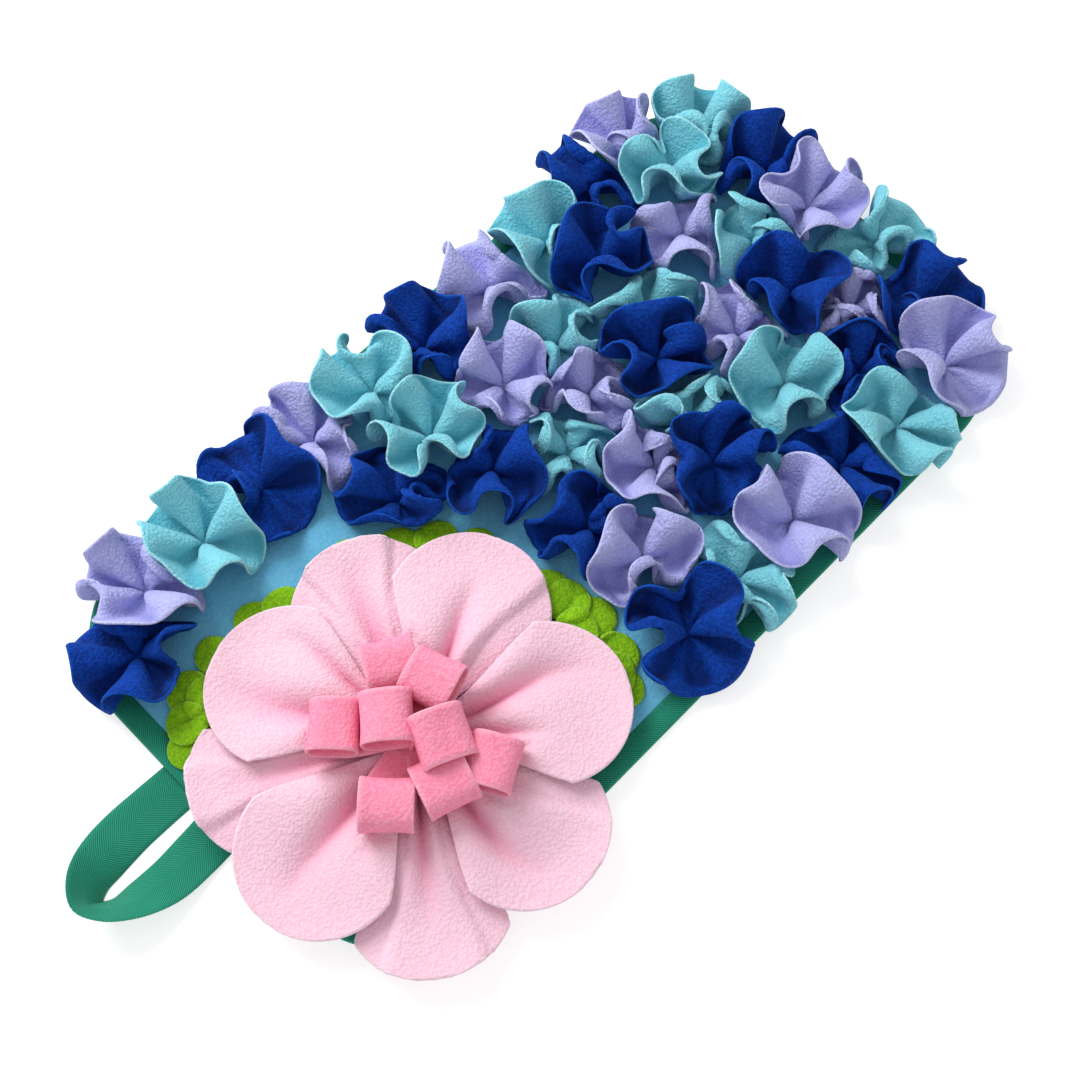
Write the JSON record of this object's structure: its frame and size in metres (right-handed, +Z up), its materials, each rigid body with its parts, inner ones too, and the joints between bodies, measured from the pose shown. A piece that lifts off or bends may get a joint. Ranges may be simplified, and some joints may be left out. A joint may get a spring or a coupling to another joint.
{
  "type": "snuffle mat",
  "caption": "Oblong padded fleece mat bound with tape, with gathered fleece discs, a large pink flower over green leaves, and a hanging loop at one end.",
  "frame": {"origin": "middle of the mat's flat underside", "axes": "+Y along the mat's length, away from the flower and the hanging loop; +X across the mat; +Z up out of the fleece side"},
  "size_m": [0.4306, 0.8147, 0.0634],
  "materials": {
    "navy": "napped polyester fleece, dark blue",
    "aqua": "napped polyester fleece, light turquoise",
    "lilac": "napped polyester fleece, lilac",
    "pale_pink": "napped polyester fleece, pale pink",
    "rose": "napped polyester fleece, stronger pink",
    "leaf": "napped polyester fleece, leaf green",
    "sky": "smooth light blue fleece over padding",
    "tape": "woven herringbone tape, green, slight sheen"
  },
  "bodies": {
    "root": {"base_pad": "sky", "edge_binding": "tape", "hanging_loop": "tape", "ruffle_01_lilac": "lilac", "ruffle_02_navy": "navy", "ruffle_03_aqua": "aqua", "ruffle_04_navy": "navy", "ruffle_05_lilac": "lilac", "ruffle_06_aqua": "aqua", "ruffle_07_navy": "navy", "ruffle_08_lilac": "lilac", "ruffle_09_aqua": "aqua", "ruffle_10_aqua": "aqua", "ruffle_11_lilac": "lilac", "ruffle_12_aqua": "aqua", "ruffle_13_navy": "navy", "ruffle_14_navy": "navy", "ruffle_15_aqua": "aqua", "ruffle_16_lilac": "lilac", "ruffle_17_navy": "navy", "ruffle_18_lilac": "lilac", "ruffle_19_aqua": "aqua", "ruffle_20_aqua": "aqua", "ruffle_21_lilac": "lilac", "ruffle_22_navy": "navy", "ruffle_23_aqua": "aqua", "ruffle_24_navy": "navy", "ruffle_25_lilac": "lilac", "ruffle_26_navy": "navy", "ruffle_27_lilac": "lilac", "ruffle_28_aqua": "aqua", "ruffle_29_aqua": "aqua", "ruffle_30_navy": "navy", "ruffle_31_lilac": "lilac", "ruffle_32_navy": "navy", "ruffle_33_lilac": "lilac", "ruffle_34_aqua": "aqua", "ruffle_35_navy": "navy", "ruffle_36_aqua": "aqua", "ruffle_37_navy": "navy", "ruffle_38_navy": "navy", "ruffle_39_lilac": "lilac", "ruffle_40_aqua": "aqua", "ruffle_41_navy": "navy", "ruffle_42_lilac": "lilac", "ruffle_43_navy": "navy", "ruffle_44_aqua": "aqua", "ruffle_45_lilac": "lilac", "petal_1": "pale_pink", "petal_2": "pale_pink", "petal_3": "pale_pink", "petal_4": "pale_pink", "petal_5": "pale_pink", "petal_6": "pale_pink", "petal_7": "pale_pink", "petal_8": "pale_pink", "leaves_left": "leaf", "leaves_top": "leaf", "leaves_right": "leaf", "flower_centre": "rose"}
  },
  "joints": []
}
